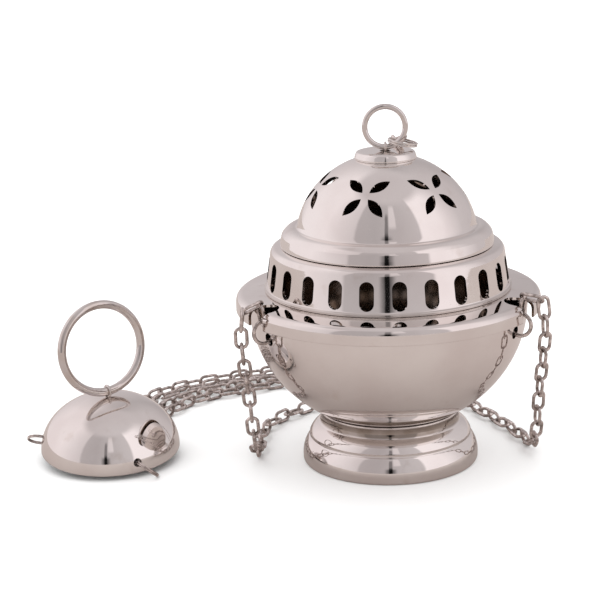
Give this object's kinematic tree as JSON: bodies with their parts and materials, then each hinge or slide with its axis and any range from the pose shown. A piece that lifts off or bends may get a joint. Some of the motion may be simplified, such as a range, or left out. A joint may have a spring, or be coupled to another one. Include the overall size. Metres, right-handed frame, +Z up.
{
  "type": "hanging incense burner",
  "caption": "Nickel-plated hanging incense burner on a moulded foot, with pierced lid, charcoal pan, link chains and a hand cap with ring.",
  "frame": {"origin": "on the table, under the middle of the burner and hand cap's bounding box, chains left out", "axes": "+Z up, +X from the hand cap to the burner, -Y towards the viewer of the picture"},
  "size_m": [0.2366, 0.2951, 0.1617],
  "materials": {
    "nickel": "polished nickel plate on brass",
    "chain_nickel": "nickel-plated wire",
    "pan_steel": "darkened by heat"
  },
  "bodies": {
    "burner": {"foot": "nickel", "bowl": "nickel", "bowl_ring_left": "chain_nickel", "bowl_ring_right": "chain_nickel", "bowl_ring_back": "chain_nickel", "chain_left": "chain_nickel", "chain_left_laid": "chain_nickel", "chain_right": "chain_nickel", "chain_right_laid": "chain_nickel", "chain_back": "chain_nickel", "chain_back_laid": "chain_nickel", "lid_chain_laid": "chain_nickel"},
    "pan": {"charcoal_pan": "pan_steel"},
    "lid": {"lid_brim": "nickel", "lid_drum": "nickel", "lid_dome": "nickel", "lid_collar": "nickel", "lid_eye_pin": "nickel", "lid_split_ring": "nickel", "lid_chain": "chain_nickel"},
    "lid_ring": {"lid_ring": "nickel"},
    "hand_cap": {"hand_cap": "nickel", "hand_eye_pin": "nickel", "cap_ring_front": "chain_nickel", "cap_ring_left": "chain_nickel", "cap_ring_back": "chain_nickel"},
    "hand_ring": {"hand_ring": "nickel"}
  },
  "joints": [
    {"name": "lid_lift", "type": "slide", "parent": "burner", "child": "lid", "axis": [0, 0, 1], "range_m": [0, 0.06]},
    {"name": "pan_lift", "type": "slide", "parent": "burner", "child": "pan", "axis": [0, 0, 1], "range_m": [0, 0.02]},
    {"name": "lid_ring_swing", "type": "hinge", "parent": "lid", "child": "lid_ring", "pos_m": [0.04992, -0.00088, 0.14262], "axis": [1, 0, 0], "range_deg": [-33, 33]},
    {"name": "hand_cap_lift", "type": "slide", "parent": "burner", "child": "hand_cap", "axis": [0, 0, 1], "range_m": [0, 0.025]},
    {"name": "hand_ring_swing", "type": "hinge", "parent": "hand_cap", "child": "hand_ring", "pos_m": [-0.07797, 0.00422, 0.03306], "axis": [0.8263, 0.5619, 0.0382], "range_deg": [-35, 35]}
  ]
}
